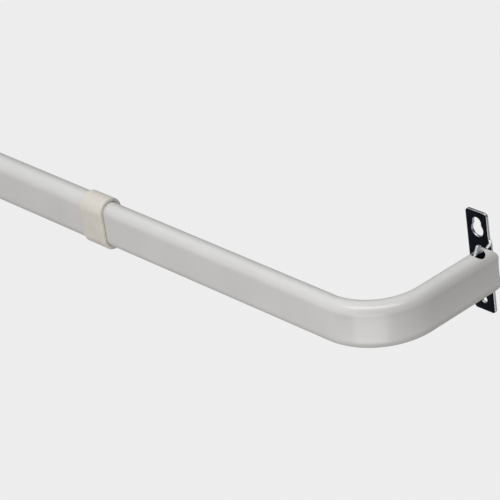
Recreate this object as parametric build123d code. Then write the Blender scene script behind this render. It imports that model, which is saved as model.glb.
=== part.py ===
from build123d import *
import os

# Telescoping curtain rod on two wall brackets, in millimetres.
# The origin is the middle of the right bracket's back face, which lies on the wall.
# +X runs right along the wall, +Y goes into the wall and +Z is up, so the rod is at -Y and -X.

# wall bracket, one stamped strip
plate_width = 13.0
plate_height = 53.0
plate_thick = 1.4
plate_corner = 1.8
key_radius = 3.6            # round part of the keyhole, which passes a screw's head
key_z = 16.8
key_slot_radius = 2.6       # half the width of the slot that takes the screw's shank
key_slot_z = 20.6
screw_radius = 1.9          # plain hole for the lower screw
screw_z = -20.5
bend_inside = 0.9           # inside radius where the arm turns forward off the plate
arm_reach = 13.6            # arm's front end, from the plate's front face
arm_bottom = -3.0
arm_front_corner = 2.0
seat_gap = 0.1              # between the arm's top edge and the rod that hangs on it
gusset_run = 3.4            # where the arm's top edge starts to rise, from the plate's front
gusset_rise = 2.2
prong_front = 11.3          # front of the prong's foot, from the plate's front face
prong_foot = 3.0
prong_tip = 2.6
prong_rise = 4.0
prong_shift = 2.1           # how far the prong leans towards the wall
prong_round = 0.9

# rolled rod sections, each a round-ended channel with its slot at the back
sheet = 0.6
inner_height = 23.6
inner_depth = 10.0
nest_gap = 0.3              # all round, between the inner and the outer section
outer_height = inner_height + 2 * (nest_gap + sheet)
outer_depth = inner_depth + 2 * (nest_gap + sheet)
inner_slot = 10.4
inner_hem = 1.6             # folded edge beside the inner section's slot
outer_slot = 8.0
outer_lip = 2.2             # the outer section's edges turn in through the inner's slot

# how the rod runs
rod_end_gap = 1.0           # between the plate's front face and the rod's end
return_length = 74.5        # from the rod's end to the middle of the long run
bend_radius = 29.5
end_corner = 5.5            # rounded corners of the return's end, seen from the side
hook_hole_x = 7.0
hook_hole_shift = 0.4       # hole's middle, outwards from the return's middle
hook_hole_y = 6.8
hook_hole_back = 8.6        # hole's middle, from the rod's end
inner_length = 651.0        # from the right return's middle to the inner section's free end
outer_length = 665.4        # from the left return's middle to the collar's end
exposed_run = 183.6         # inner section showing beside the collar, from the return's middle

# plastic collar on the outer section's open end
collar_length = 16.0
collar_wall = 1.15
collar_end_wall = 1.5
collar_edge = 0.9

# places worked out from the sizes above
return_x = plate_width / 2 + bend_inside + plate_thick / 2
rod_end_y = -plate_thick - rod_end_gap
run_y = rod_end_y - return_length
span = exposed_run + outer_length
middle_x = return_x - span / 2
arm_seat = inner_height / 2 - sheet - seat_gap
left_rise = outer_height / 2 - inner_height / 2


def channel_section(height, depth, slot):
    """Round-ended sheet channel; local X is the depth with the slot at +X, local Y the height."""
    skin = SlotOverall(height, depth, rotation=90)
    skin -= SlotOverall(height - 2 * sheet, depth - 2 * sheet, rotation=90)
    return skin - Pos(depth / 2, 0) * Rectangle(4 * sheet, slot)


def edge_strips(depth, near_edge, across, along):
    """The two folded edges beside a slot, each across by along, their outer face on the back."""
    strip = Rectangle(across, along, align=(Align.MAX, Align.MIN))
    upper = Pos(depth / 2, near_edge) * strip
    return upper + mirror(upper, about=Plane.XZ)


def inner_section():
    hem = edge_strips(inner_depth, inner_slot / 2, 2 * sheet, inner_hem)
    return channel_section(inner_height, inner_depth, inner_slot) + hem


def outer_section():
    lip = edge_strips(outer_depth, outer_slot / 2, outer_lip, sheet)
    return channel_section(outer_height, outer_depth, outer_slot) + lip


def end_shape(height, length):
    """Side view of the return, whose two end corners are rounded; it is cut out of the channel."""
    side = Rectangle(length, height, align=(Align.MAX, Align.CENTER))
    corners = side.vertices().group_by(Axis.X)[-1]
    side = fillet(corners, end_corner)
    return Plane(origin=(return_x, rod_end_y, 0), x_dir=(0, 1, 0), z_dir=(1, 0, 0)) * side


def hook_hole(height):
    """Hole down through the return's top for the bracket's prong."""
    middle = (return_x + hook_hole_shift, rod_end_y - hook_hole_back)
    outline = Plane(origin=(*middle, height / 2 - inner_depth / 3))
    return extrude(outline * SlotOverall(hook_hole_x, hook_hole_y), inner_depth)


def rod(section, height, depth, length):
    """Right-hand rod: the long run, a quarter bend and the return with its hook hole."""
    bend_x = return_x - bend_radius
    bend_y = run_y + bend_radius
    along_run = Plane(origin=(bend_x, run_y, 0), x_dir=(0, 1, 0), z_dir=(1, 0, 0))
    along_return = Plane(origin=(return_x, bend_y, 0), x_dir=(-1, 0, 0), z_dir=(0, 1, 0))
    run = extrude(along_run * section, -(length - bend_radius))
    bend = revolve(along_run * section, Axis((bend_x, bend_y, 0), (0, 0, 1)), 90)
    back = extrude(along_return * section, return_length - bend_radius)
    back &= extrude(end_shape(height, return_length - bend_radius), depth, both=True)
    return run + bend + (back - hook_hole(height))


def left_hand(shape):
    return mirror(shape, about=Plane(origin=(middle_x, 0, 0), z_dir=(1, 0, 0)))


def collar():
    """Sleeve over the outer section's open end, with an end wall round the inner section."""
    end_x = return_x - exposed_run
    across = Plane(origin=(end_x, run_y, 0), x_dir=(0, 1, 0), z_dir=(-1, 0, 0))
    outside = SlotOverall(outer_height + 2 * collar_wall, outer_depth + 2 * collar_wall, rotation=90)
    body = extrude(across * outside, collar_length)
    rims = body.edges().filter_by(Axis.X, reverse=True)
    body = fillet(rims, collar_edge)
    pocket = extrude(across * SlotOverall(outer_height, outer_depth, rotation=90), collar_length)
    mouth = SlotOverall(inner_height + 2 * nest_gap, inner_depth + 2 * nest_gap, rotation=90)
    body -= Pos(-collar_end_wall, 0, 0) * pocket
    return body - extrude(across * mouth, collar_length)


def keyhole():
    slot_rise = key_slot_z - key_z
    slot = Pos(0, slot_rise / 2) * Rectangle(2 * key_slot_radius, slot_rise)
    return Circle(key_radius) + slot + Pos(0, slot_rise) * Circle(key_slot_radius)


def wall_plate():
    front = Plane(origin=(0, -plate_thick, 0), x_dir=(1, 0, 0), z_dir=(0, -1, 0))
    face = RectangleRounded(plate_width, plate_height, plate_corner)
    face -= Pos(0, key_z) * keyhole()
    face -= Pos(0, screw_z) * Circle(screw_radius)
    return extrude(front * face, -plate_thick)


def arm_side():
    """Side view of the arm: local X is Y, local Y is Z. The prong leans towards the wall."""
    front_y = -plate_thick - arm_reach
    gusset_y = -plate_thick - gusset_run
    foot_y = -plate_thick - prong_front
    tip_y = foot_y + prong_shift
    tip_z = arm_seat + prong_rise
    tips = [(tip_y, tip_z), (tip_y + prong_tip, tip_z)]
    outline = Polyline(
        (0, arm_bottom),
        (front_y, arm_bottom),
        (front_y, arm_seat),
        (foot_y, arm_seat),
        tips[0],
        tips[1],
        (foot_y + prong_foot, arm_seat),
        (gusset_y, arm_seat),
        (-plate_thick, arm_seat + gusset_rise),
        (0, arm_seat + gusset_rise),
        close=True,
    )
    side = make_face(outline)
    side = fillet(side.vertices().group_by(Axis.X)[0], arm_front_corner)
    side = fillet(side.vertices().group_by(Axis.Y)[-1], prong_round)
    return Plane.YZ * side


def bent_strip():
    """Plan of the arm's strip: a quarter turn off the plate's edge, then straight forward."""
    edge_x = plate_width / 2
    bend_y = -plate_thick - bend_inside
    outside = Circle(bend_inside + plate_thick) - Circle(bend_inside)
    quarter = outside & Rectangle(plate_width, plate_width, align=(Align.MIN, Align.MIN))
    reach = arm_reach - bend_inside
    ahead = Pos(bend_inside, 0) * Rectangle(plate_thick, reach, align=(Align.MIN, Align.MAX))
    return Pos(edge_x, bend_y) * (quarter + ahead)


def bracket():
    """Right-hand bracket: the wall plate and the arm bent forward off its outer edge."""
    strip = extrude(bent_strip(), plate_height / 2, both=True)
    arm = strip & extrude(arm_side(), 2 * plate_width)
    return wall_plate() + arm


nodes = {
    "right_bracket": bracket(),
    "left_bracket": Pos(0, 0, left_rise) * left_hand(bracket()),
    "inner_rod": rod(inner_section(), inner_height, inner_depth, inner_length),
    "outer_rod": left_hand(rod(outer_section(), outer_height, outer_depth, outer_length - collar_end_wall)),
    "collar": collar(),
}

os.makedirs("parts", exist_ok=True)
for name, shape in nodes.items():
    export_step(shape, f"parts/{name}.step")
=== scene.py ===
import math
import bmesh
import bpy
from mathutils import Matrix, Vector


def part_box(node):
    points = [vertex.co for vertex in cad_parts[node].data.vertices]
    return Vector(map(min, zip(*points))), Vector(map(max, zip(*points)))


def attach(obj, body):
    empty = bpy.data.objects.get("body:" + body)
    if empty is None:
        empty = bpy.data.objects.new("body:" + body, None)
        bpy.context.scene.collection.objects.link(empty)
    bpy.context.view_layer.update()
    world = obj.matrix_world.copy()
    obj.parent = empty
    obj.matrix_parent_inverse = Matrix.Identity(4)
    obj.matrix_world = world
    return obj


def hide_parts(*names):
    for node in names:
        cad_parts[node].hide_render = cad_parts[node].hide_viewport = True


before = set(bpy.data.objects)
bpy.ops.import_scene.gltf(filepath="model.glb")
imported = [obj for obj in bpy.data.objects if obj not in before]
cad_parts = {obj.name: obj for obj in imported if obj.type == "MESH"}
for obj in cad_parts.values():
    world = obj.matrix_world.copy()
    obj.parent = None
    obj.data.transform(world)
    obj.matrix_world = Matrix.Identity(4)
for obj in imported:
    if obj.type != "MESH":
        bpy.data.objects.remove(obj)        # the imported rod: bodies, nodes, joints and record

scene = bpy.context.scene
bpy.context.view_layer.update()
mm = 0.001
hair = 1e-6                           # taken off a full-round radius, so that two arcs never quite meet
samePoint = 1e-7                      # points nearer than this are one
nearlyStraight = math.radians(89.5)   # half the angle of a corner that needs no arc
print("frame loaded:", ", ".join(sorted(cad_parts)))


def nodeBox(name):
    low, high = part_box(name)
    return {"low": low, "high": high, "size": high - low, "middle": (low + high) / 2}


def arcPoints(centre, radius, start, end, steps):
    angles = [start + (end - start) * i / steps for i in range(steps + 1)]
    return [(centre[0] + radius * math.cos(a), centre[1] + radius * math.sin(a)) for a in angles]


def roundedOutline(corners, stepAngle=6.0):
    # corners are (x, y, radius) in order; every corner becomes an arc tangent to its two sides
    outline = []
    count = len(corners)
    for i, (x, y, radius) in enumerate(corners):
        here = Vector((x, y))
        toLast = (Vector(corners[i - 1][:2]) - here).normalized()
        toNext = (Vector(corners[(i + 1) % count][:2]) - here).normalized()
        half = toLast.angle(toNext) / 2
        if radius <= 0 or half > nearlyStraight:
            outline.append((x, y))
            continue
        centre = here + (toLast + toNext).normalized() * (radius / math.sin(half))
        first = here + toLast * (radius / math.tan(half))
        last = here + toNext * (radius / math.tan(half))
        a0 = math.atan2(first.y - centre.y, first.x - centre.x)
        a1 = math.atan2(last.y - centre.y, last.x - centre.x)
        turn = (a1 - a0 + math.pi) % (2 * math.pi) - math.pi
        steps = max(2, round(abs(math.degrees(turn)) / stepAngle))
        outline += arcPoints(centre, radius, a0, a0 + turn, steps)
    clean = []
    for p in outline:
        if not clean or math.dist(p, clean[-1]) > samePoint:
            clean.append(p)
    if math.dist(clean[0], clean[-1]) <= samePoint:
        clean.pop()
    return clean


def splitLong(outline, longest):
    # extra points on the long straight stretches, so that a wall can be dished
    points = []
    for (x0, y0), (x1, y1) in zip(outline, outline[1:] + outline[:1]):
        parts = max(1, math.ceil(math.dist((x0, y0), (x1, y1)) / longest))
        points += [(x0 + (x1 - x0) * i / parts, y0 + (y1 - y0) * i / parts) for i in range(parts)]
    return points


def slotCorners(height, depth):
    # a round-ended slot as the four corners of its bounding rectangle
    h, d, r = height / 2, depth / 2, min(height, depth) / 2 - hair
    return [(d, -h, r), (d, h, r), (-d, h, r), (-d, -h, r)]


def outlineMesh(name, outline):
    mesh = bpy.data.meshes.new(name)
    count = len(outline)
    edges = [(i, (i + 1) % count) for i in range(count)]
    mesh.from_pydata([(x, y, 0) for x, y in outline], edges, [])
    return mesh


def addObject(name, mesh):
    piece = bpy.data.objects.new(name, mesh)
    scene.collection.objects.link(piece)
    return piece


def prism(name, outline, place, depth):
    # a closed prism: the outline drawn in local XY, carried by place, pushed depth along local Z
    bm = bmesh.new()
    bottom = [bm.verts.new(place @ Vector((x, y, 0))) for x, y in outline]
    top = [bm.verts.new(place @ Vector((x, y, depth))) for x, y in outline]
    bm.faces.new(list(reversed(bottom)))
    bm.faces.new(top)
    for i in range(len(outline)):
        k = (i + 1) % len(outline)
        bm.faces.new((bottom[i], bottom[k], top[k], top[i]))
    bmesh.ops.recalc_face_normals(bm, faces=bm.faces)
    mesh = bpy.data.meshes.new(name)
    bm.to_mesh(mesh)
    bm.free()
    return addObject(name, mesh)


def evaluatedMesh(piece):
    return bpy.data.meshes.new_from_object(piece.evaluated_get(bpy.context.evaluated_depsgraph_get()))


def bakeModifiers(piece):
    # the evaluated shape becomes the piece's own plain mesh and every modifier goes
    shape = evaluatedMesh(piece)
    piece.modifiers.clear()
    old = piece.data
    piece.data = shape
    bpy.data.meshes.remove(old)


def cutAway(piece, cutters):
    for cutter in cutters:
        cut = piece.modifiers.new("cut", "BOOLEAN")
        cut.operation = "DIFFERENCE"
        cut.solver = "MANIFOLD"
        cut.object = cutter
    bakeModifiers(piece)
    for cutter in cutters:
        bpy.data.objects.remove(cutter)


def faceOutwards(bm):
    bmesh.ops.recalc_face_normals(bm, faces=bm.faces)
    if bm.calc_volume(signed=True) < 0:
        bmesh.ops.reverse_faces(bm, faces=bm.faces)


def shadeRound(mesh, angle):
    mesh.shade_smooth()
    mesh.set_sharp_from_angle(angle=math.radians(angle))


def cleanUp(piece, angle=32):
    bm = bmesh.new()
    bm.from_mesh(piece.data)
    bmesh.ops.remove_doubles(bm, verts=bm.verts, dist=1e-6)
    bmesh.ops.dissolve_degenerate(bm, edges=bm.edges, dist=samePoint)
    caps = [face for face in bm.faces if len(face.verts) > 8]
    bmesh.ops.triangulate(bm, faces=caps)
    faceOutwards(bm)
    bm.to_mesh(piece.data)
    bm.free()
    shadeRound(piece.data, angle)


def newGroup(name, inputs, outputs):
    group = bpy.data.node_groups.new(name, "ShaderNodeTree")
    for socketName, kind, value in inputs:
        socket = group.interface.new_socket(name=socketName, in_out="INPUT", socket_type=kind)
        if value is not None:
            socket.default_value = value
    for socketName, kind in outputs:
        group.interface.new_socket(name=socketName, in_out="OUTPUT", socket_type=kind)
    return group, group.nodes.new("NodeGroupInput"), group.nodes.new("NodeGroupOutput")


def mathNode(tree, operation, a, b=None):
    # a and b are numbers or sockets
    node = tree.nodes.new("ShaderNodeMath")
    node.operation = operation
    for slot, value in zip(node.inputs, (a, b)):
        if value is None:
            continue
        if isinstance(value, (int, float)):
            slot.default_value = value
        else:
            tree.links.new(value, slot)
    return node.outputs[0]


def rangeNode(tree, value, low, high, fromLow=0.0, fromHigh=1.0):
    node = tree.nodes.new("ShaderNodeMapRange")
    node.inputs["From Min"].default_value = fromLow
    node.inputs["From Max"].default_value = fromHigh
    node.inputs["To Min"].default_value = low
    node.inputs["To Max"].default_value = high
    tree.links.new(value, node.inputs["Value"])
    return node.outputs["Result"]


def makeRollFinish():
    # lines left by the rolls run along the rod at one height, over the pebble of sprayed enamel
    group, source, result = newGroup(
        "rollFinish",
        [("Pebble Scale", "NodeSocketFloat", 900.0), ("Line Scale", "NodeSocketFloat", 1400.0),
         ("Line Share", "NodeSocketFloat", 0.4)],
        [("Height", "NodeSocketFloat"), ("Lines", "NodeSocketFloat"), ("Cloud", "NodeSocketFloat"),
         ("Specks", "NodeSocketFloat")])
    nodes, links = group.nodes, group.links
    place = nodes.new("ShaderNodeTexCoord").outputs["Object"]
    pebble = nodes.new("ShaderNodeTexNoise")
    pebble.inputs["Detail"].default_value = 3.0
    pebble.inputs["Roughness"].default_value = 0.45
    links.new(place, pebble.inputs["Vector"])
    links.new(source.outputs["Pebble Scale"], pebble.inputs["Scale"])
    stretch = nodes.new("ShaderNodeVectorMath")
    stretch.operation = "MULTIPLY"
    stretch.inputs[1].default_value = (0.012, 0.012, 1.0)
    links.new(place, stretch.inputs[0])
    lines = nodes.new("ShaderNodeTexNoise")
    lines.inputs["Detail"].default_value = 4.0
    lines.inputs["Roughness"].default_value = 0.6
    links.new(stretch.outputs[0], lines.inputs["Vector"])
    links.new(source.outputs["Line Scale"], lines.inputs["Scale"])
    cloud = nodes.new("ShaderNodeTexNoise")
    cloud.inputs["Scale"].default_value = 34.0
    cloud.inputs["Detail"].default_value = 5.0
    links.new(place, cloud.inputs["Vector"])
    specks = nodes.new("ShaderNodeTexVoronoi")
    specks.inputs["Scale"].default_value = 210.0
    links.new(place, specks.inputs["Vector"])
    dot = rangeNode(group, specks.outputs["Distance"], 1.0, 0.0, 0.035, 0.075)
    lineHeight = mathNode(group, "MULTIPLY", lines.outputs["Fac"], source.outputs["Line Share"])
    height = mathNode(group, "ADD", pebble.outputs["Fac"], lineHeight)
    links.new(height, result.inputs["Height"])
    links.new(lines.outputs["Fac"], result.inputs["Lines"])
    links.new(cloud.outputs["Fac"], result.inputs["Cloud"])
    links.new(dot, result.inputs["Specks"])
    return group


def makeHandling():
    # fine scuffs in two directions and a soft smudge, for anything that is slid or screwed up
    group, source, result = newGroup(
        "handling",
        [("Scuff Scale", "NodeSocketFloat", 260.0), ("Smudge Scale", "NodeSocketFloat", 55.0)],
        [("Scuffs", "NodeSocketFloat"), ("Smudge", "NodeSocketFloat")])
    nodes, links = group.nodes, group.links
    place = nodes.new("ShaderNodeTexCoord").outputs["Object"]
    scratches = []
    for turn, squeeze in (((0.2, 0.1, 0.5), 0.06), ((0.5, -0.2, -0.7), 0.04)):
        mapping = nodes.new("ShaderNodeMapping")
        mapping.inputs["Rotation"].default_value = turn
        mapping.inputs["Scale"].default_value = (squeeze, 1.0, 1.0)
        links.new(place, mapping.inputs["Vector"])
        streak = nodes.new("ShaderNodeTexNoise")
        streak.inputs["Detail"].default_value = 2.0
        links.new(mapping.outputs[0], streak.inputs["Vector"])
        links.new(source.outputs["Scuff Scale"], streak.inputs["Scale"])
        scratches.append(rangeNode(group, streak.outputs["Fac"], 0.0, 1.0, 0.66, 0.74))
    both = mathNode(group, "MAXIMUM", scratches[0], scratches[1])
    smudge = nodes.new("ShaderNodeTexNoise")
    smudge.inputs["Detail"].default_value = 6.0
    smudge.inputs["Roughness"].default_value = 0.65
    links.new(place, smudge.inputs["Vector"])
    links.new(source.outputs["Smudge Scale"], smudge.inputs["Scale"])
    links.new(both, result.inputs["Scuffs"])
    links.new(smudge.outputs["Fac"], result.inputs["Smudge"])
    return group


rollFinish = makeRollFinish()
handling = makeHandling()


def placeGroup(tree, group, **values):
    node = tree.nodes.new("ShaderNodeGroup")
    node.node_tree = group
    for name, value in values.items():
        node.inputs[name.replace("_", " ")].default_value = value
    return node


def newMaterial(name):
    material = bpy.data.materials.new(name)
    material.use_nodes = True
    tree = material.node_tree
    return material, tree, tree.nodes["Principled BSDF"]


def mixColours(tree, factor, a, b):
    # factor is a socket; a and b are colours or sockets
    mix = tree.nodes.new("ShaderNodeMix")
    mix.data_type = "RGBA"
    tree.links.new(factor, mix.inputs["Factor"])
    for socket, value in ((mix.inputs["A"], a), (mix.inputs["B"], b)):
        if isinstance(value, tuple):
            socket.default_value = (*value, 1.0)
        else:
            tree.links.new(value, socket)
    return mix.outputs["Result"]


def objectPlace(tree):
    return tree.nodes.new("ShaderNodeTexCoord").outputs["Object"]


def bumpNode(tree, height, strength, distance):
    bump = tree.nodes.new("ShaderNodeBump")
    bump.inputs["Strength"].default_value = strength
    bump.inputs["Distance"].default_value = distance
    tree.links.new(height, bump.inputs["Height"])
    return bump.outputs["Normal"]


def wornRoughness(tree, worn, finish):
    # roughness drifts between the finish's two ends with the smudges
    return rangeNode(tree, worn.outputs["Smudge"], finish["roughLow"], finish["roughHigh"], 0.3, 0.7)


def share(tree, value, amount):
    return mathNode(tree, "MULTIPLY", value, amount)


enamelFinish = {
    "colour": (0.70, 0.697, 0.688),
    "shade": (0.655, 0.648, 0.632),
    "speck": (0.46, 0.44, 0.40),
    "cloudShare": 0.8,        # how far the tone drifts towards the shade in clouds
    "lineTint": 0.16,         # and in the lines left by the rolls
    "lineShare": 0.4,         # height of those lines beside the pebble
    "speckShare": 0.35,
    "roughLow": 0.17,
    "roughHigh": 0.25,
    "scuffRough": 0.02,
    "scuffDepth": 0.03,
    "pebbleStrength": 0.35,
    "pebbleDepth": 0.006 * mm,
}
# the inside's backing coat, made near-black as painted shade for the closed channel's dark interior
insideShadeFinish = dict(
    enamelFinish,
    colour=(0.034, 0.035, 0.036),
    shade=(0.024, 0.025, 0.026),
    speck=(0.06, 0.058, 0.055),
    lineShare=0.6,
    roughLow=0.50,
    roughHigh=0.66,
    pebbleDepth=0.01 * mm,
)


def makeEnamel(name, finish):
    material, tree, shader = newMaterial(name)
    rolled = placeGroup(tree, rollFinish, Line_Share=finish["lineShare"])
    worn = placeGroup(tree, handling)
    clouds = rangeNode(tree, rolled.outputs["Cloud"], 0.0, finish["cloudShare"], 0.35, 0.75)
    lines = rangeNode(tree, rolled.outputs["Lines"], 0.0, finish["lineTint"], 0.5, 0.8)
    specks = share(tree, rolled.outputs["Specks"], finish["speckShare"])
    tone = mixColours(tree, clouds, finish["colour"], finish["shade"])
    tone = mixColours(tree, lines, tone, finish["shade"])
    tone = mixColours(tree, specks, tone, finish["speck"])
    tree.links.new(tone, shader.inputs["Base Color"])
    scuffs = worn.outputs["Scuffs"]
    gloss = wornRoughness(tree, worn, finish)
    gloss = mathNode(tree, "ADD", gloss, share(tree, scuffs, finish["scuffRough"]))
    tree.links.new(gloss, shader.inputs["Roughness"])
    height = mathNode(tree, "SUBTRACT", rolled.outputs["Height"], share(tree, scuffs, finish["scuffDepth"]))
    pebble = bumpNode(tree, height, finish["pebbleStrength"], finish["pebbleDepth"])
    tree.links.new(pebble, shader.inputs["Normal"])
    shader.inputs["IOR"].default_value = 1.6
    return material


plasticFinish = {
    "colour": (0.745, 0.715, 0.655),
    "shade": (0.68, 0.645, 0.575),
    "flowScale": 120.0,       # slow swirls left by the moulding
    "flowShare": 0.7,
    "roughLow": 0.36,
    "roughHigh": 0.52,
    "grainScale": 2600.0,
    "grainStrength": 0.25,
    "grainDepth": 0.02 * mm,
    "scuffScale": 420.0,
    "scuffDepth": 0.6,
    "smudgeScale": 90.0,
    "softness": 0.12,
}


def makePlastic(name, finish):
    material, tree, shader = newMaterial(name)
    worn = placeGroup(tree, handling, Scuff_Scale=finish["scuffScale"], Smudge_Scale=finish["smudgeScale"])
    grain = tree.nodes.new("ShaderNodeTexNoise")
    grain.inputs["Scale"].default_value = finish["grainScale"]
    grain.inputs["Detail"].default_value = 2.0
    place = objectPlace(tree)
    tree.links.new(place, grain.inputs["Vector"])
    flow = tree.nodes.new("ShaderNodeTexNoise")
    flow.inputs["Scale"].default_value = finish["flowScale"]
    flow.inputs["Distortion"].default_value = 1.4
    tree.links.new(place, flow.inputs["Vector"])
    swirls = rangeNode(tree, flow.outputs["Fac"], 0.0, finish["flowShare"], 0.35, 0.75)
    tree.links.new(mixColours(tree, swirls, finish["colour"], finish["shade"]), shader.inputs["Base Color"])
    tree.links.new(wornRoughness(tree, worn, finish), shader.inputs["Roughness"])
    scratches = share(tree, worn.outputs["Scuffs"], finish["scuffDepth"])
    height = mathNode(tree, "SUBTRACT", grain.outputs["Fac"], scratches)
    pitted = bumpNode(tree, height, finish["grainStrength"], finish["grainDepth"])
    tree.links.new(pitted, shader.inputs["Normal"])
    shader.inputs["IOR"].default_value = 1.47
    shader.inputs["Subsurface Weight"].default_value = finish["softness"]
    shader.inputs["Subsurface Radius"].default_value = (0.0016, 0.0012, 0.0008)
    shader.inputs["Subsurface Scale"].default_value = 1.0
    return material


zincFinish = {
    "colour": (0.84, 0.87, 0.89),
    "shade": (0.66, 0.69, 0.71),
    "spangleScale": 520.0,
    "spangleShare": 0.45,
    "spangleRough": 0.06,
    "scuffScale": 700.0,
    "scuffShare": 0.5,
    "smudgeScale": 220.0,
    "roughLow": 0.15,
    "roughHigh": 0.28,
    "waveStrength": 0.3,
    "waveDepth": 0.01 * mm,
}


def makeZinc(name, finish):
    material, tree, shader = newMaterial(name)
    worn = placeGroup(tree, handling, Scuff_Scale=finish["scuffScale"], Smudge_Scale=finish["smudgeScale"])
    spangle = tree.nodes.new("ShaderNodeTexVoronoi")
    spangle.inputs["Scale"].default_value = finish["spangleScale"]
    tree.links.new(objectPlace(tree), spangle.inputs["Vector"])
    crystal = tree.nodes.new("ShaderNodeSeparateColor")
    tree.links.new(spangle.outputs["Color"], crystal.inputs["Color"])
    crystals = share(tree, crystal.outputs["Red"], finish["spangleShare"])
    scratches = share(tree, worn.outputs["Scuffs"], finish["scuffShare"])
    tone = mixColours(tree, crystals, finish["colour"], finish["shade"])
    tone = mixColours(tree, scratches, tone, finish["shade"])
    tree.links.new(tone, shader.inputs["Base Color"])
    dull = share(tree, crystal.outputs["Green"], finish["spangleRough"])
    tree.links.new(mathNode(tree, "ADD", wornRoughness(tree, worn, finish), dull), shader.inputs["Roughness"])
    wave = bumpNode(tree, worn.outputs["Smudge"], finish["waveStrength"], finish["waveDepth"])
    tree.links.new(wave, shader.inputs["Normal"])
    shader.inputs["Metallic"].default_value = 1.0
    return material


blackFinish = {
    "colour": (0.0035, 0.0050, 0.010),
    "worn": (0.008, 0.010, 0.016),
    "smudgeShare": 0.35,
    "smudgeScale": 160.0,
    "scuffShare": 0.5,
    "scuffScale": 520.0,
    "roughLow": 0.30,
    "roughHigh": 0.48,
    "waveStrength": 0.3,
    "waveDepth": 0.015 * mm,
}


def makeBlacking(name, finish):
    material, tree, shader = newMaterial(name)
    worn = placeGroup(tree, handling, Scuff_Scale=finish["scuffScale"], Smudge_Scale=finish["smudgeScale"])
    smudges = rangeNode(tree, worn.outputs["Smudge"], 0.0, finish["smudgeShare"], 0.45, 0.8)
    scratches = share(tree, worn.outputs["Scuffs"], finish["scuffShare"])
    tone = mixColours(tree, smudges, finish["colour"], finish["worn"])
    tone = mixColours(tree, scratches, tone, finish["worn"])
    tree.links.new(tone, shader.inputs["Base Color"])
    tree.links.new(wornRoughness(tree, worn, finish), shader.inputs["Roughness"])
    wave = bumpNode(tree, worn.outputs["Smudge"], finish["waveStrength"], finish["waveDepth"])
    tree.links.new(wave, shader.inputs["Normal"])
    shader.inputs["IOR"].default_value = 1.45
    shader.inputs["Specular IOR Level"].default_value = 0.08
    return material


rodEnamel = makeEnamel("rodEnamel", enamelFinish)
# near-black inside coat: painted shade for the channel's interior
rodInsideShade = makeEnamel("rodInsideShade", insideShadeFinish)
collarPlastic = makePlastic("collarPlastic", plasticFinish)
bracketZinc = makeZinc("bracketZinc", zincFinish)
# real black paint on the plate's front, also used as painted shade on the arm inside the channel
bracketBlackAndArmShade = makeBlacking("bracketBlackAndArmShade", blackFinish)
print("materials made:", len(bpy.data.materials))


def geometryTree(name, inputs):
    tree = bpy.data.node_groups.new(name, "GeometryNodeTree")
    tree.interface.new_socket(name="Geometry", in_out="INPUT", socket_type="NodeSocketGeometry")
    sockets = {}
    for socketName, kind, value in inputs:
        socket = tree.interface.new_socket(name=socketName, in_out="INPUT", socket_type=kind)
        if value is not None:
            socket.default_value = value
        sockets[socketName] = socket.identifier
    tree.interface.new_socket(name="Geometry", in_out="OUTPUT", socket_type="NodeSocketGeometry")
    return tree, tree.nodes.new("NodeGroupInput"), tree.nodes.new("NodeGroupOutput"), sockets


def runTree(piece, tree, sockets, values):
    modifier = piece.modifiers.new(tree.name, "NODES")
    modifier.node_group = tree
    for name, value in values.items():
        modifier[sockets[name]] = value
    bakeModifiers(piece)


def endTree(tree, shape, source, result):
    realize = tree.nodes.new("GeometryNodeRealizeInstances")
    tree.links.new(shape, realize.inputs[0])
    paint = tree.nodes.new("GeometryNodeSetMaterial")
    tree.links.new(realize.outputs[0], paint.inputs["Geometry"])
    tree.links.new(source.outputs["Finish"], paint.inputs["Material"])
    tree.links.new(paint.outputs[0], result.inputs[0])


def sweepAlong(tree, line, source):
    # the piece's own edge loop is the section, kept upright along the line
    upright = tree.nodes.new("GeometryNodeSetCurveNormal")
    upright.mode = "Z_UP"
    tree.links.new(line, upright.inputs["Curve"])
    section = tree.nodes.new("GeometryNodeMeshToCurve")
    tree.links.new(source.outputs["Geometry"], section.inputs["Mesh"])
    sweep = tree.nodes.new("GeometryNodeCurveToMesh")
    tree.links.new(upright.outputs[0], sweep.inputs["Curve"])
    tree.links.new(section.outputs[0], sweep.inputs["Profile Curve"])
    return sweep


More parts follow.
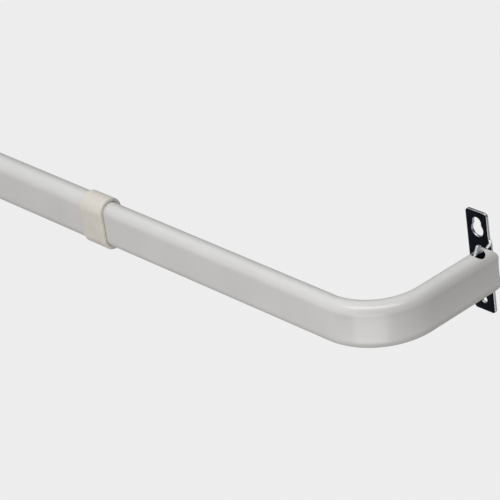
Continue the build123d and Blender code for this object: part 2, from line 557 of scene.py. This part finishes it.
def makeSweepTree():
    # the sheet's section runs from the free end, round the bend and back to the wall, and its
    # outer wall is dished a little from the bend onwards
    tree, source, result, sockets = geometryTree("sweepSection", [
        ("Free End", "NodeSocketVector", (0, 0, 0)),
        ("Corner", "NodeSocketVector", (0, 0, 0)),
        ("Wall End", "NodeSocketVector", (0, 0, 0)),
        ("Bend Radius", "NodeSocketFloat", 0.03),
        ("Bend Steps", "NodeSocketInt", 48),
        ("Bend Centre", "NodeSocketVector", (0, 0, 0)),
        ("Side", "NodeSocketFloat", 1.0),
        ("Half Depth", "NodeSocketFloat", 0.005),
        ("Flat Half Height", "NodeSocketFloat", 0.007),
        ("Dish In Bend", "NodeSocketFloat", 0.0006),
        ("Dish In Return", "NodeSocketFloat", 0.0004),
        ("Dish Fade", "NodeSocketFloat", 0.014),
        ("Finish", "NodeSocketMaterial", None)])
    nodes, links = tree.nodes, tree.links

    def runLine(start, end):
        line = nodes.new("GeometryNodeMeshLine")
        line.mode = "END_POINTS"
        line.inputs["Count"].default_value = 2
        links.new(source.outputs[start], line.inputs["Start Location"])
        links.new(source.outputs[end], line.inputs["Offset"])
        return line.outputs["Mesh"]

    def smoothStep(value, start, end):
        step = nodes.new("ShaderNodeMapRange")
        step.interpolation_type = "SMOOTHSTEP"
        for socket, bound in (("From Min", start), ("From Max", end)):
            if isinstance(bound, (int, float)):
                step.inputs[socket].default_value = bound
            else:
                links.new(bound, step.inputs[socket])
        links.new(value, step.inputs["Value"])
        return step.outputs["Result"]

    join = nodes.new("GeometryNodeJoinGeometry")
    links.new(runLine("Corner", "Wall End"), join.inputs[0])
    links.new(runLine("Free End", "Corner"), join.inputs[0])
    weld = nodes.new("GeometryNodeMergeByDistance")
    links.new(join.outputs[0], weld.inputs["Geometry"])
    path = nodes.new("GeometryNodeMeshToCurve")
    links.new(weld.outputs[0], path.inputs["Mesh"])
    turn = nodes.new("GeometryNodeFilletCurve")
    turn.mode = "POLY"
    links.new(path.outputs[0], turn.inputs["Curve"])
    links.new(source.outputs["Bend Radius"], turn.inputs["Radius"])
    links.new(source.outputs["Bend Steps"], turn.inputs["Count"])
    sweep = sweepAlong(tree, turn.outputs[0], source)
    sweep.inputs["Fill Caps"].default_value = True

    # how far each point lies towards the wall and out past the bend's centre
    away = nodes.new("ShaderNodeVectorMath")
    away.operation = "SUBTRACT"
    links.new(nodes.new("GeometryNodeInputPosition").outputs[0], away.inputs[0])
    links.new(source.outputs["Bend Centre"], away.inputs[1])
    parts = nodes.new("ShaderNodeSeparateXYZ")
    links.new(away.outputs["Vector"], parts.inputs[0])
    side = source.outputs["Side"]
    along = mathNode(tree, "MULTIPLY", parts.outputs["X"], side)
    u = mathNode(tree, "MAXIMUM", along, 0.0)
    v = mathNode(tree, "MAXIMUM", mathNode(tree, "MULTIPLY", parts.outputs["Y"], -1.0), 0.0)
    reach = mathNode(tree, "SQRT", mathNode(tree, "ADD", mathNode(tree, "MULTIPLY", u, u),
                                            mathNode(tree, "MULTIPLY", v, v)))
    outward = mathNode(tree, "SUBTRACT", reach, source.outputs["Bend Radius"])
    outer = smoothStep(outward, 0.0, source.outputs["Half Depth"])
    flat = mathNode(tree, "DIVIDE", parts.outputs["Z"], source.outputs["Flat Half Height"])
    crown = mathNode(tree, "POWER", mathNode(tree, "ABSOLUTE", flat), 2.5)      # flat floor, steeper sides
    crown = mathNode(tree, "SUBTRACT", 1.0, crown)
    within = mathNode(tree, "LESS_THAN", mathNode(tree, "ABSOLUTE", flat), 1.0)
    fade = smoothStep(along, 0.0, source.outputs["Dish Fade"])
    fadeStart = mathNode(tree, "MULTIPLY", source.outputs["Dish Fade"], -1.0)
    inReturn = smoothStep(parts.outputs["Y"], fadeStart, 0.0)
    dish = nodes.new("ShaderNodeMix")
    links.new(inReturn, dish.inputs["Factor"])
    links.new(source.outputs["Dish In Bend"], dish.inputs["A"])
    links.new(source.outputs["Dish In Return"], dish.inputs["B"])
    depth = dish.outputs["Result"]
    for part in (outer, crown, within, fade):
        depth = mathNode(tree, "MULTIPLY", depth, part)
    inwards = mathNode(tree, "DIVIDE", mathNode(tree, "MULTIPLY", depth, -1.0), reach)
    push = nodes.new("ShaderNodeCombineXYZ")
    links.new(mathNode(tree, "MULTIPLY", mathNode(tree, "MULTIPLY", u, side), inwards), push.inputs["X"])
    links.new(mathNode(tree, "MULTIPLY", mathNode(tree, "MULTIPLY", v, -1.0), inwards), push.inputs["Y"])
    press = nodes.new("GeometryNodeSetPosition")
    links.new(sweep.outputs[0], press.inputs["Geometry"])
    links.new(push.outputs[0], press.inputs["Offset"])
    endTree(tree, press.outputs[0], source, result)
    return tree, sockets


sweepTree, sweepSockets = makeSweepTree()


rodSheet = {
    "thick": 0.6,
    "edgeRound": 0.22,        # rolled-over corner of the sheet
    "bendRadius": 29.5,
    "bendSteps": 56,
    "dishInBend": 0.5,
    "dishInReturn": 0.5,
    "dishFade": 14.0,         # how far into the bend the dish grows, and how far before its end it settles
    "endCorner": 5.5,
    "holeAcross": 7.0,
    "holeShift": 0.4,         # outwards from the return's middle
    "holeAlong": 6.8,
    "holeBack": 8.6,
    "holeSink": 3.4,          # how far the hole's cutter starts below the top face
    "pointGap": 0.9,          # longest straight step in the section
}
innerRodSize = {"depth": 10.0, "slot": 10.4, "hem": 1.6}
outerRodSize = {"depth": 11.8, "slot": 8.0, "lip": 2.2}


def innerSection(height, size, sheet):
    # the slot's edges are folded back on themselves as a flat hem
    b, h, t = size["depth"] / 2, height / 2, sheet["thick"]
    s, hem, e = size["slot"] / 2, size["hem"], sheet["edgeRound"]
    lower = [(b - 2 * t, -s, e), (b, -s, e), (b, -h, b - hair), (-b, -h, b - hair)]
    upper = [(x, -y, r) for x, y, r in reversed(lower)]
    inside = [(b - 2 * t, s + hem, 0.15), (b - t, s + hem, 0),
              (b - t, h - t, b - t - hair), (-b + t, h - t, b - t - hair)]
    insideLow = [(x, -y, r) for x, y, r in reversed(inside)]
    return lower + upper + inside + insideLow


def outerSection(height, size, sheet):
    # the slot's edges turn in as lips that hold the inner rod
    b, h, t = size["depth"] / 2, height / 2, sheet["thick"]
    s, lip, e = size["slot"] / 2, size["lip"], sheet["edgeRound"]
    lower = [(b - lip, -s, e), (b, -s, 2 * e), (b, -h, b - hair), (-b, -h, b - hair)]
    upper = [(x, -y, r) for x, y, r in reversed(lower)]
    inside = [(b - lip, s + t, e), (b - t, s + t, e),
              (b - t, h - t, b - t - hair), (-b + t, h - t, b - t - hair)]
    insideLow = [(x, -y, r) for x, y, r in reversed(inside)]
    return lower + upper + inside + insideLow


def hookHoleCutter(returnX, endY, topZ, hand, sheet):
    outline = roundedOutline(slotCorners(sheet["holeAlong"] * mm, sheet["holeAcross"] * mm))
    middleX = returnX + hand * sheet["holeShift"] * mm
    sink = sheet["holeSink"] * mm
    place = Matrix.Translation((middleX, endY - sheet["holeBack"] * mm, topZ - sink))
    return prism("hookHoleCutter", outline, place, 2 * sink)


def endCornerCutter(returnX, endY, halfHeight, side, sheet):
    # what lies outside one rounded corner of the return's end, seen from the side;
    # the arc stands off a little, so that it crosses both faces and never grazes them
    r, past, off, reach = sheet["endCorner"] * mm, 3 * mm, 0.02 * mm, 12 * mm
    outline = arcPoints((off - r, halfHeight - r + off), r, 0, math.pi / 2, 16)
    outline += [(off - r, halfHeight + past), (past, halfHeight + past), (past, halfHeight - r + off)]
    outline = [(x, z * side) for x, z in outline]
    onSide = Matrix(((0, 0, 1, 0), (1, 0, 0, 0), (0, 1, 0, 0), (0, 0, 0, 1)))
    place = Matrix.Translation((returnX - reach, endY, 0)) @ onSide
    return prism("endCornerCutter", outline, place, 2 * reach)


def paintInsideShade(rod, corner, hand, halfDepth, halfHeight):
    # faces deeper than half the sheet that look in at the channel's middle get a near-black backing coat,
    # painted shade for the unlit inside of the closed channel
    radius, straight = rodSheet["bendRadius"] * mm, halfHeight - halfDepth
    skin = halfDepth - rodSheet["thick"] / 2 * mm
    for face in rod.data.polygons:
        u = max(hand * (face.center.x - corner.x) + radius, 0.0)
        v = max(corner.y + radius - face.center.y, 0.0)
        reach = math.hypot(u, v)
        outward, level = reach - radius, max(-straight, min(straight, face.center.z))
        spoke = Vector((hand * u / reach * outward, -v / reach * outward, face.center.z - level))
        looksIn = spoke.normalized().dot(face.normal) < -0.3
        if spoke.length < skin and looksIn:
            face.material_index = 1


def makeRod(name, node, corners, size, hand, body):
    # hand is +1 for the rod whose return is on the right, -1 for the left one
    box = nodeBox(node)
    b = size["depth"] / 2 * mm
    height = box["size"].z
    runY = box["low"].y + b
    endY = box["high"].y
    returnX = box["high"].x - b if hand > 0 else box["low"].x + b
    freeX = box["low"].x if hand > 0 else box["high"].x
    radius = rodSheet["bendRadius"] * mm
    points = splitLong(roundedOutline(corners, 7.0), rodSheet["pointGap"])
    outline = [(x * mm, y * mm) for x, y in points]
    if hand > 0:
        outline = [(-x, y) for x, y in reversed(outline)]           # the slot faces the wall on both
    rod = addObject(name, outlineMesh(name, outline))
    runTree(rod, sweepTree, sweepSockets, {
        "Free End": (freeX, runY, 0.0),
        "Corner": (returnX, runY, 0.0),
        "Wall End": (returnX, endY, 0.0),
        "Bend Radius": radius,
        "Bend Steps": rodSheet["bendSteps"],
        "Bend Centre": (returnX - hand * radius, runY + radius, 0.0),
        "Side": float(hand),
        "Half Depth": b,
        "Flat Half Height": height / 2 - b,
        "Dish In Bend": rodSheet["dishInBend"] * mm,
        "Dish In Return": rodSheet["dishInReturn"] * mm,
        "Dish Fade": rodSheet["dishFade"] * mm,
        "Finish": rodEnamel,
    })
    cutters = [hookHoleCutter(returnX, endY, height / 2, hand, rodSheet)]
    cutters += [endCornerCutter(returnX, endY, height / 2, side, rodSheet) for side in (1, -1)]
    cleanUp(rod)
    cutAway(rod, cutters)
    cleanUp(rod)
    # the second slot is the near-black inside coat, painted shade for the channel's interior
    rod.data.materials.append(rodInsideShade)
    paintInsideShade(rod, Vector((returnX, runY, 0)), hand, b, height / 2)
    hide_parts(node)
    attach(rod, body)
    print(name, "faces:", len(rod.data.polygons))


innerHeight = nodeBox("inner_rod")["size"].z / mm
outerHeight = nodeBox("outer_rod")["size"].z / mm
makeRod("innerRod", "inner_rod", innerSection(innerHeight, innerRodSize, rodSheet),
        innerRodSize, 1, "inner_section")
makeRod("outerRod", "outer_rod", outerSection(outerHeight, outerRodSize, rodSheet),
        outerRodSize, -1, "outer_section")


collarSize = {
    "wall": 1.15,
    "endWall": 1.5,
    "mouthGap": 0.16,
    "edge": 0.8,
    "mouthEdge": 0.35,
    "lipEdge": 0.15,
    "innerEdge": 0.12,
    "steps": 20,
}


def makeSleeveTree():
    # the wall's section is carried round a round-ended slot
    tree, source, result, sockets = geometryTree("sleeveRound", [
        ("Height", "NodeSocketFloat", 0.024),
        ("Depth", "NodeSocketFloat", 0.010),
        ("Corner Steps", "NodeSocketInt", 20),
        ("Finish", "NodeSocketMaterial", None)])
    nodes, links = tree.nodes, tree.links
    frameLine = nodes.new("GeometryNodeCurvePrimitiveQuadrilateral")
    links.new(source.outputs["Height"], frameLine.inputs["Width"])
    links.new(source.outputs["Depth"], frameLine.inputs["Height"])
    nearHalf = mathNode(tree, "MULTIPLY", source.outputs["Depth"], 0.4999)      # the two arcs never meet
    rounded = nodes.new("GeometryNodeFilletCurve")
    rounded.mode = "POLY"
    links.new(frameLine.outputs[0], rounded.inputs["Curve"])
    links.new(nearHalf, rounded.inputs["Radius"])
    links.new(source.outputs["Corner Steps"], rounded.inputs["Count"])
    sweep = sweepAlong(tree, rounded.outputs[0], source)
    endTree(tree, sweep.outputs[0], source, result)
    return tree, sockets


def makeCollar():
    box = nodeBox("collar")
    length = box["size"].x / mm
    wall, edge = collarSize["wall"], collarSize["edge"]
    rodDepth, rodHeight = outerRodSize["depth"], outerHeight
    # local X runs outwards from the rod's surface, local Y along the sleeve from its mouth
    mouth = (rodDepth - innerRodSize["depth"]) / 2 - collarSize["mouthGap"]
    endWall = collarSize["endWall"]
    section = [(wall, 0, edge), (wall, length, edge), (0, length, collarSize["innerEdge"]), (0, endWall, 0.1),
               (-mouth, endWall, collarSize["lipEdge"]), (-mouth, 0, collarSize["mouthEdge"])]
    outline = [(x * mm, y * mm) for x, y in roundedOutline(section)]
    tree, sockets = makeSleeveTree()
    sleeve = addObject("collarSleeve", outlineMesh("collarSleeve", outline))
    runTree(sleeve, tree, sockets, {
        "Height": rodHeight * mm,
        "Depth": rodDepth * mm,
        "Corner Steps": collarSize["steps"],
        "Finish": collarPlastic,
    })
    # the slot was drawn lying down: stand it up across the rod, mouth towards the right
    stand = Matrix(((0, 0, 1, 0), (0, 1, 0, 0), (1, 0, 0, 0), (0, 0, 0, 1)))
    sleeve.data.transform(Matrix.Translation((box["high"].x, box["middle"].y, box["middle"].z)) @ stand)
    cleanUp(sleeve, 40)
    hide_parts("collar")
    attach(sleeve, "outer_section")
    print("collarSleeve faces:", len(sleeve.data.polygons))


makeCollar()


bracketSize = {
    "width": 13.0,
    "thick": 1.4,
    "corner": 1.8,
    "keyRadius": 3.6,
    "keyZ": 16.8,
    "slotRadius": 2.6,
    "slotZ": 20.6,
    "screwRadius": 1.9,
    "screwZ": -20.5,
    "bendInside": 0.9,
    "armReach": 13.6,
    "armBottom": -3.0,
    "armCorner": 2.0,
    "seatZ": 11.1,
    "gussetRun": 3.4,
    "gussetRise": 2.2,
    "prongFront": 11.3,
    "prongFoot": 3.0,
    "prongTip": 2.6,
    "prongRise": 4.0,
    "prongShift": 2.1,
    "prongRound": 0.9,
    "edgeRound": 0.16,
    "neckRound": 0.5,         # where the arm and its gusset leave the plate
    "footRound": 0.35,        # at both sides of the prong's foot
    "gussetRound": 0.8,
    "keySteps": 44,
    "screwSteps": 36,
    "foldCuts": 10,
}


def addLoop(curve, points):
    spline = curve.splines.new("POLY")
    spline.points.add(len(points) - 1)
    for point, (x, y) in zip(spline.points, points):
        point.co = (x * mm, y * mm, 0, 1)
    spline.use_cyclic_u = True


def blankLength(reach, size):
    # how far out on the flat blank a point lies that ends up reach in front of the plate
    neutral = size["bendInside"] + size["thick"] / 2
    return size["width"] / 2 + reach - size["bendInside"] + neutral * math.pi / 2


def blankOutline(height, size):
    w, h = size["width"] / 2, height / 2
    front = blankLength(size["armReach"], size)
    foot = blankLength(size["prongFront"], size)
    tip = foot - size["prongShift"]
    gusset = blankLength(size["gussetRun"], size)
    seat, tipZ, bottom = size["seatZ"], size["seatZ"] + size["prongRise"], size["armBottom"]
    corner, neck, prongFoot, prong = size["corner"], size["neckRound"], size["footRound"], size["prongRound"]
    return roundedOutline([
        (-w, -h, corner), (w, -h, corner), (w, bottom, neck),
        (front, bottom, size["armCorner"]), (front, seat, size["armCorner"]),
        (foot, seat, prongFoot), (tip, tipZ, prong),
        (tip - size["prongTip"], tipZ, prong), (foot - size["prongFoot"], seat, prongFoot),
        (gusset, seat, size["gussetRound"]), (w, seat + size["gussetRise"], neck),
        (w, h, corner), (-w, h, corner)], 8)


def keyholeOutline(size):
    r, s = size["keyRadius"], size["slotRadius"]
    meet = math.asin(s / r)         # from straight up to where the slot's sides meet the round
    lower = arcPoints((0, size["keyZ"]), r, math.pi / 2 + meet, 5 * math.pi / 2 - meet, size["keySteps"])
    upper = arcPoints((0, size["slotZ"]), s, 0, math.pi, size["keySteps"] // 2)
    return lower + upper


def screwOutline(size):
    return arcPoints((0, size["screwZ"]), size["screwRadius"], 0, 2 * math.pi, size["screwSteps"])[:-1]


def splitBlank(bm, point, across):
    everything = list(bm.verts) + list(bm.edges) + list(bm.faces)
    bmesh.ops.bisect_plane(bm, geom=everything, dist=samePoint, plane_co=point, plane_no=across)


def makeBracket(name, node, hand, body):
    # drawn flat as the stamped blank, then its arm is folded forwards; hand +1 is the right bracket
    box = nodeBox(node)
    size = bracketSize
    t, w = size["thick"] * mm, size["width"] / 2 * mm
    plateX = box["low"].x + w if hand > 0 else box["high"].x - w
    plan = bpy.data.curves.new(name, "CURVE")
    plan.dimensions = "2D"
    plan.fill_mode = "BOTH"
    addLoop(plan, blankOutline(box["size"].z / mm, size))
    addLoop(plan, keyholeOutline(size))
    addLoop(plan, screwOutline(size))
    plan.bevel_depth = size["edgeRound"] * mm
    plan.bevel_resolution = 2
    plan.extrude = t / 2 - plan.bevel_depth
    plan.offset = -plan.bevel_depth
    drawn = addObject(name + "Plan", plan)
    mesh = evaluatedMesh(drawn)
    bpy.data.objects.remove(drawn)
    bpy.data.curves.remove(plan)

    bm = bmesh.new()
    bm.from_mesh(mesh)
    bmesh.ops.remove_doubles(bm, verts=bm.verts, dist=2e-6)
    neutral = (size["bendInside"] + size["thick"] / 2) * mm
    turnLength = neutral * math.pi / 2
    for i in range(size["foldCuts"] + 1):
        splitBlank(bm, (w + turnLength * i / size["foldCuts"], 0, 0), (1, 0, 0))
    seat = size["seatZ"] * mm
    splitBlank(bm, (0, seat, 0), (0, 1, 0))
    bm.normal_update()
    for face in bm.faces:
        # the plate's front is blacked, and both sides of the arm are painted black as painted shade inside
        # the rod's channel, while the prong is rubbed bare
        middle = face.calc_center_median()
        onArm = middle.x > w + turnLength
        facing = abs(face.normal.z) if onArm else face.normal.z
        face.material_index = 0 if facing > 0.9 and not (onArm and middle.y > seat) else 1
    inside = size["bendInside"] * mm
    for v in bm.verts:
        out, up = v.co.x - w, v.co.y
        back = t / 2 - v.co.z                                       # from the front face to the wall
        x, y = v.co.x, -t + back
        if out > 0:
            turn = min(out / neutral, math.pi / 2)
            past = max(0.0, out - turnLength)
            x = w + (inside + back) * math.sin(turn)
            y = -t - inside + (inside + back) * math.cos(turn) - past
        v.co = (plateX + hand * x, y, box["middle"].z + up)
    faceOutwards(bm)
    bm.to_mesh(mesh)
    bm.free()
    bracket = addObject(name, mesh)
    # black paint on the plate's front, and painted shade on the arm inside the channel
    mesh.materials.append(bracketBlackAndArmShade)
    mesh.materials.append(bracketZinc)
    shadeRound(mesh, 28)
    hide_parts(node)
    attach(bracket, body)
    print(name, "faces:", len(mesh.polygons))


makeBracket("rightBracket", "right_bracket", 1, "right_bracket")
makeBracket("leftBracket", "left_bracket", -1, "left_bracket")


studio = {
    "floorDrop": 1.1,
    "floorHalf": 14.0,
    "floorColour": (0.12, 0.12, 0.12),
    "floorGlow": 0.77,        # as seen directly
    "floorGloss": 0.24,       # as it shows in a gloss, kept low so that lower edges stay dark
    "floorScale": 3.0,        # of the faint fleck in the paper
    "floorFleck": 0.985,
    "backdrop": 0.845,
    "skyLow": 0.05,
    "skyOverhead": 0.80,
    "overheadSpread": (0.45, 0.95),       # cosines at which the lobe starts and is full
    "skyWindow": 0.585,
    "windowSide": (-0.66, -0.74, 0.06),
    "windowSpread": (-0.05, 0.85),
}
keyPanel = {
    "direction": (0.28, -0.41, 0.87),
    "distance": 1.3,
    "width": 1.5,
    "height": 0.36,
    "power": 7.0,
    "colour": (1.0, 1.0, 1.0),
}
frontCard = {
    "direction": (0.42, -0.78, -0.46),
    "distance": 1.0,
    "width": 0.8,
    "height": 0.8,
    "power": 3.2,
    "colour": (1.0, 0.965, 0.935),
}


def makeFloor():
    half, z = studio["floorHalf"], -studio["floorDrop"]
    mesh = bpy.data.meshes.new("studioFloor")
    corners = [(-half, -half, z), (half, -half, z), (half, half, z), (-half, half, z)]
    mesh.from_pydata(corners, [], [(0, 1, 2, 3)])
    floor = addObject("studioFloor", mesh)
    material, tree, shader = newMaterial("studioPaper")
    fleck = tree.nodes.new("ShaderNodeTexNoise")
    fleck.inputs["Scale"].default_value = studio["floorScale"]
    tree.links.new(objectPlace(tree), fleck.inputs["Vector"])
    pale = studio["floorColour"]
    dim = tuple(c * studio["floorFleck"] for c in pale)
    tone = mixColours(tree, share(tree, fleck.outputs["Fac"], 0.5), pale, dim)
    tree.links.new(tone, shader.inputs["Base Color"])
    shader.inputs["Roughness"].default_value = 0.95
    shader.inputs["Specular IOR Level"].default_value = 0.0
    shader.inputs["Emission Color"].default_value = (1.0, 1.0, 1.0, 1.0)
    # glows as plain paper when seen directly, and dimly to every other ray
    seen = tree.nodes.new("ShaderNodeLightPath").outputs["Is Camera Ray"]
    glow = rangeNode(tree, seen, studio["floorGloss"], studio["floorGlow"])
    tree.links.new(glow, shader.inputs["Emission Strength"])
    mesh.materials.append(material)


def makeSky():
    # brighter overhead and over the window side, dim elsewhere; seen directly it is plain paper
    world = bpy.data.worlds.new("studioSky")
    scene.world = world
    world.use_nodes = True
    tree = world.node_tree
    place = tree.nodes.new("ShaderNodeTexCoord").outputs["Generated"]

    def lobe(direction, spreadRange, strength):
        facing = tree.nodes.new("ShaderNodeVectorMath")
        facing.operation = "DOT_PRODUCT"
        facing.inputs[1].default_value = Vector(direction).normalized()
        tree.links.new(place, facing.inputs[0])
        spread = tree.nodes.new("ShaderNodeMapRange")
        spread.interpolation_type = "SMOOTHSTEP"
        spread.inputs["From Min"].default_value = spreadRange[0]
        spread.inputs["From Max"].default_value = spreadRange[1]
        spread.inputs["To Max"].default_value = strength
        tree.links.new(facing.outputs["Value"], spread.inputs["Value"])
        return spread.outputs["Result"]

    overhead = lobe((0, 0, 1), studio["overheadSpread"], studio["skyOverhead"])
    window = lobe(studio["windowSide"], studio["windowSpread"], studio["skyWindow"])
    light = mathNode(tree, "ADD", mathNode(tree, "ADD", overhead, window), studio["skyLow"])
    mask = tree.nodes.new("ShaderNodeLightPath").outputs["Is Camera Ray"]
    seen = mathNode(tree, "MULTIPLY", mask, studio["backdrop"])
    unseen = mathNode(tree, "MULTIPLY", mathNode(tree, "SUBTRACT", 1.0, mask), light)
    sky = tree.nodes["Background"]
    sky.inputs["Color"].default_value = (1.0, 1.0, 1.0, 1.0)
    tree.links.new(mathNode(tree, "ADD", seen, unseen), sky.inputs["Strength"])


def addPanel(name, panel):
    # a soft panel aimed at the bend; its long side lies level
    light = bpy.data.lights.new(name, "AREA")
    light.shape = "RECTANGLE"
    light.size = panel["width"]
    light.size_y = panel["height"]
    light.energy = panel["power"]
    light.color = panel["colour"]
    away = Vector(panel["direction"]).normalized()
    level = Vector((0, 0, 1)).cross(away).normalized()
    turn = Matrix((level, away.cross(level), away)).transposed().to_4x4()
    lamp = bpy.data.objects.new(name, light)
    lamp.matrix_world = Matrix.Translation(away * panel["distance"]) @ turn
    lamp.visible_camera = False
    scene.collection.objects.link(lamp)


makeFloor()
makeSky()
addPanel("keyPanel", keyPanel)
addPanel("frontCard", frontCard)
scene.view_settings.view_transform = "Standard"
print("studio lit")


cameraView = {
    "azimuth": 51.06,         # turned from looking straight at the wall
    "elevation": 29.12,
    "roll": -8.48,
    "lens": 190.7,            # on a sensor 36 mm wide
    "distance": 1.1752,       # to the corner where the run and the right return would meet
    "cornerRight": 0.0571,    # how far that corner lies to the right of the view's middle
    "cornerUp": -0.0389,
}


def makeCamera():
    innerBox = nodeBox("inner_rod")
    half = innerRodSize["depth"] / 2 * mm
    corner = Vector((innerBox["high"].x - half, innerBox["low"].y + half, innerBox["middle"].z))
    az, el = math.radians(cameraView["azimuth"]), math.radians(cameraView["elevation"])
    ahead = Vector((-math.sin(az) * math.cos(el), math.cos(az) * math.cos(el), -math.sin(el)))
    level = Vector((math.cos(az), math.sin(az), 0))
    above = level.cross(ahead)
    roll = math.radians(cameraView["roll"])
    right = math.cos(roll) * level + math.sin(roll) * above
    up = math.cos(roll) * above - math.sin(roll) * level
    place = corner - cameraView["cornerRight"] * right - cameraView["cornerUp"] * up
    place -= cameraView["distance"] * ahead
    lens = bpy.data.cameras.new("camera")
    lens.lens = cameraView["lens"]
    lens.sensor_width = 36.0
    lens.clip_start = 0.01
    lens.clip_end = 100.0
    camera = bpy.data.objects.new("camera", lens)
    turn = Matrix((right, up, -ahead)).transposed().to_4x4()
    camera.matrix_world = Matrix.Translation(place) @ turn
    scene.collection.objects.link(camera)
    scene.camera = camera
    print("camera placed")


makeCamera()

print("pieces finished")
